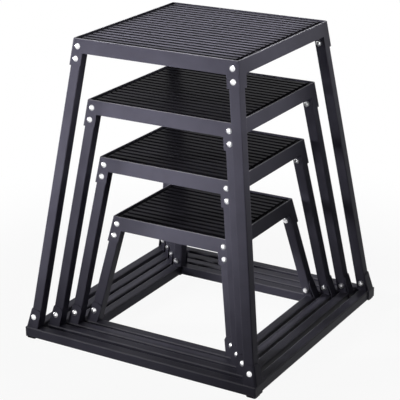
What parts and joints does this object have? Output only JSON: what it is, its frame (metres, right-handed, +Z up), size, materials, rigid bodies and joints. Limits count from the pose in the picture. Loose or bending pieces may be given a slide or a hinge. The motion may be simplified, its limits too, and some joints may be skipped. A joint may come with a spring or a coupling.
{
  "type": "plyo box",
  "caption": "Nested set of open-frame steel plyo boxes: ribbed rubber treads in folded trays on splayed tube legs with bolted base rings, each box lifting off the next",
  "frame": {"origin": "on the floor at the centre of the nested set", "axes": "+Z up, the front with its bolts towards -Y, treads' ribs along X"},
  "size_m": [0.6584, 0.6584, 0.762],
  "materials": {
    "powder_coat": "satin black powder coat with a faint orange-peel texture",
    "tread_rubber": "matt black moulded rubber",
    "foot_rubber": "matt black moulded rubber",
    "zinc_plate": "bright zinc plate"
  },
  "bodies": {
    "box_12": {"box_12_platform": "powder_coat", "box_12_tread_mat": "tread_rubber", "box_12_leg_front_left": "powder_coat", "box_12_leg_front_right": "powder_coat", "box_12_leg_back_left": "powder_coat", "box_12_leg_back_right": "powder_coat", "box_12_rail_front": "powder_coat", "box_12_rail_back": "powder_coat", "box_12_rail_left": "powder_coat", "box_12_rail_right": "powder_coat", "box_12_corner_brackets": "powder_coat", "box_12_feet": "foot_rubber", "box_12_bolts": "zinc_plate", "box_12_nuts": "zinc_plate"},
    "box_18": {"box_18_platform": "powder_coat", "box_18_tread_mat": "tread_rubber", "box_18_leg_front_left": "powder_coat", "box_18_leg_front_right": "powder_coat", "box_18_leg_back_left": "powder_coat", "box_18_leg_back_right": "powder_coat", "box_18_rail_front": "powder_coat", "box_18_rail_back": "powder_coat", "box_18_rail_left": "powder_coat", "box_18_rail_right": "powder_coat", "box_18_corner_brackets": "powder_coat", "box_18_feet": "foot_rubber", "box_18_bolts": "zinc_plate", "box_18_nuts": "zinc_plate"},
    "box_24": {"box_24_platform": "powder_coat", "box_24_tread_mat": "tread_rubber", "box_24_leg_front_left": "powder_coat", "box_24_leg_front_right": "powder_coat", "box_24_leg_back_left": "powder_coat", "box_24_leg_back_right": "powder_coat", "box_24_rail_front": "powder_coat", "box_24_rail_back": "powder_coat", "box_24_rail_left": "powder_coat", "box_24_rail_right": "powder_coat", "box_24_corner_brackets": "powder_coat", "box_24_feet": "foot_rubber", "box_24_bolts": "zinc_plate", "box_24_nuts": "zinc_plate"},
    "box_30": {"box_30_platform": "powder_coat", "box_30_tread_mat": "tread_rubber", "box_30_leg_front_left": "powder_coat", "box_30_leg_front_right": "powder_coat", "box_30_leg_back_left": "powder_coat", "box_30_leg_back_right": "powder_coat", "box_30_rail_front": "powder_coat", "box_30_rail_back": "powder_coat", "box_30_rail_left": "powder_coat", "box_30_rail_right": "powder_coat", "box_30_corner_brackets": "powder_coat", "box_30_feet": "foot_rubber", "box_30_bolts": "zinc_plate", "box_30_nuts": "zinc_plate"}
  },
  "joints": [
    {"name": "box_18_lift", "type": "slide", "parent": "box_12", "child": "box_18", "axis": [0, 0, 1], "range_m": [0, 0.32]},
    {"name": "box_24_lift", "type": "slide", "parent": "box_18", "child": "box_24", "axis": [0, 0, 1], "range_m": [0, 0.48]},
    {"name": "box_30_lift", "type": "slide", "parent": "box_24", "child": "box_30", "axis": [0, 0, 1], "range_m": [0, 0.63]}
  ]
}
